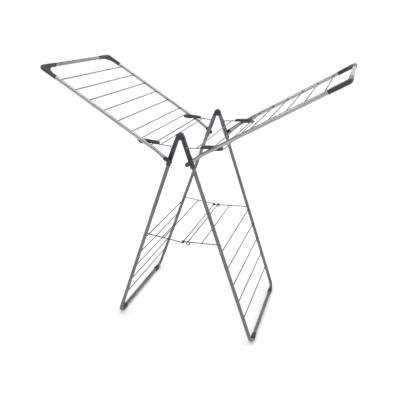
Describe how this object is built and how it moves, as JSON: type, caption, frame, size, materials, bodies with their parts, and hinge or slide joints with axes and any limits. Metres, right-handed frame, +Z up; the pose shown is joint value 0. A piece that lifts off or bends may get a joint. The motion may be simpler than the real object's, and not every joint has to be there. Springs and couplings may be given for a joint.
{
  "type": "clothes drying rack",
  "caption": "Free-standing folding clothes airer with two raised wings on A-shaped tube legs, wire rails, strut supports and a low wire shelf.",
  "frame": {"origin": "on the floor, in the middle of the footprint, which is the middle of the bounding box", "axes": "+X to the right in the picture along the wings, -Y to the front, +Z up"},
  "size_m": [1.2112, 0.5482, 1.173],
  "materials": {
    "leg_steel": "glossy silver-grey coated steel tube, slightly darker than the wings",
    "wing_steel": "glossy silver coated steel tube",
    "wire_steel": "thin coated steel wire",
    "slate_plastic": "satin dark slate-grey moulded plastic"
  },
  "bodies": {
    "legs_left": {"leg_frame_left": "leg_steel", "foot_front_left": "slate_plastic", "foot_back_left": "slate_plastic", "leg_rail_left_1": "wire_steel", "leg_rail_left_2": "wire_steel", "leg_rail_left_3": "wire_steel", "leg_rail_left_4": "wire_steel", "leg_rail_left_5": "wire_steel", "hinge_sleeve_front_left": "slate_plastic", "hinge_sleeve_back_left": "slate_plastic", "peak_pin_front": "slate_plastic", "peak_pin_back": "slate_plastic"},
    "legs_right": {"leg_frame_right": "leg_steel", "foot_front_right": "slate_plastic", "foot_back_right": "slate_plastic", "leg_rail_right_1": "wire_steel", "leg_rail_right_2": "wire_steel", "leg_rail_right_3": "wire_steel", "leg_rail_right_4": "wire_steel", "leg_rail_right_5": "wire_steel", "hinge_sleeve_front_right": "slate_plastic", "hinge_sleeve_back_right": "slate_plastic"},
    "wing_left": {"wing_tube_front_left": "wing_steel", "wing_tube_back_left": "wing_steel", "wing_end_bar_left": "wing_steel", "wing_corner_front_left": "slate_plastic", "wing_corner_back_left": "slate_plastic", "wing_end_cap_front_left": "slate_plastic", "wing_end_cap_back_left": "slate_plastic", "wing_rail_left_1": "wire_steel", "wing_rail_left_2": "wire_steel", "wing_rail_left_3": "wire_steel", "wing_rail_left_4": "wire_steel", "wing_rail_left_5": "wire_steel", "wing_rail_left_6": "wire_steel", "wing_rail_left_7": "wire_steel"},
    "wing_right": {"wing_tube_front_right": "wing_steel", "wing_tube_back_right": "wing_steel", "wing_end_bar_right": "wing_steel", "wing_corner_front_right": "slate_plastic", "wing_corner_back_right": "slate_plastic", "wing_end_cap_front_right": "slate_plastic", "wing_end_cap_back_right": "slate_plastic", "wing_rail_right_1": "wire_steel", "wing_rail_right_2": "wire_steel", "wing_rail_right_3": "wire_steel", "wing_rail_right_4": "wire_steel", "wing_rail_right_5": "wire_steel", "wing_rail_right_6": "wire_steel", "wing_rail_right_7": "wire_steel"},
    "strut_left": {"strut_left": "wire_steel", "strut_clip_front_left": "slate_plastic", "strut_clip_back_left": "slate_plastic"},
    "strut_right": {"strut_right": "wire_steel", "strut_clip_front_right": "slate_plastic", "strut_clip_back_right": "slate_plastic"},
    "shelf_left": {"shelf_half_left": "wire_steel"},
    "shelf_right": {"shelf_half_right": "wire_steel"}
  },
  "joints": [
    {"name": "leg_fold", "type": "hinge", "parent": "legs_left", "child": "legs_right", "pos_m": [0, 0, 0.925], "axis": [0, 1, 0], "range_deg": [0, 36]},
    {"name": "wing_fold_left", "type": "hinge", "parent": "legs_left", "child": "wing_left", "pos_m": [-0.04492, 0, 0.82577], "axis": [0, -1, 0], "range_deg": [0, 93]},
    {"name": "wing_fold_right", "type": "hinge", "parent": "legs_right", "child": "wing_right", "pos_m": [0.04492, 0, 0.82577], "axis": [0, 1, 0], "range_deg": [0, 93]},
    {"name": "strut_turn_left", "type": "hinge", "parent": "wing_left", "child": "strut_left", "pos_m": [-0.13958, 0, 0.89156], "axis": [0, -1, 0], "range_deg": [-12.6, 0]},
    {"name": "strut_turn_right", "type": "hinge", "parent": "wing_right", "child": "strut_right", "pos_m": [0.13958, 0, 0.89156], "axis": [0, 1, 0], "range_deg": [-12.6, 0]},
    {"name": "shelf_lift", "type": "hinge", "parent": "legs_left", "child": "shelf_left", "pos_m": [-0.17148, 0, 0.46439], "axis": [0, -1, 0], "range_deg": [0, 69.9]},
    {"name": "shelf_bend", "type": "hinge", "parent": "shelf_left", "child": "shelf_right", "pos_m": [0, 0, 0.45], "axis": [0, 1, 0], "range_deg": [0, 175.8]}
  ],
  "couplings": [
    {"joint": "strut_turn_left", "follows": "wing_fold_left", "ratio": -0.13548},
    {"joint": "strut_turn_right", "follows": "wing_fold_right", "ratio": -0.13548},
    {"joint": "shelf_lift", "follows": "leg_fold", "ratio": 1.9409},
    {"joint": "shelf_bend", "follows": "leg_fold", "ratio": 4.8818}
  ]
}
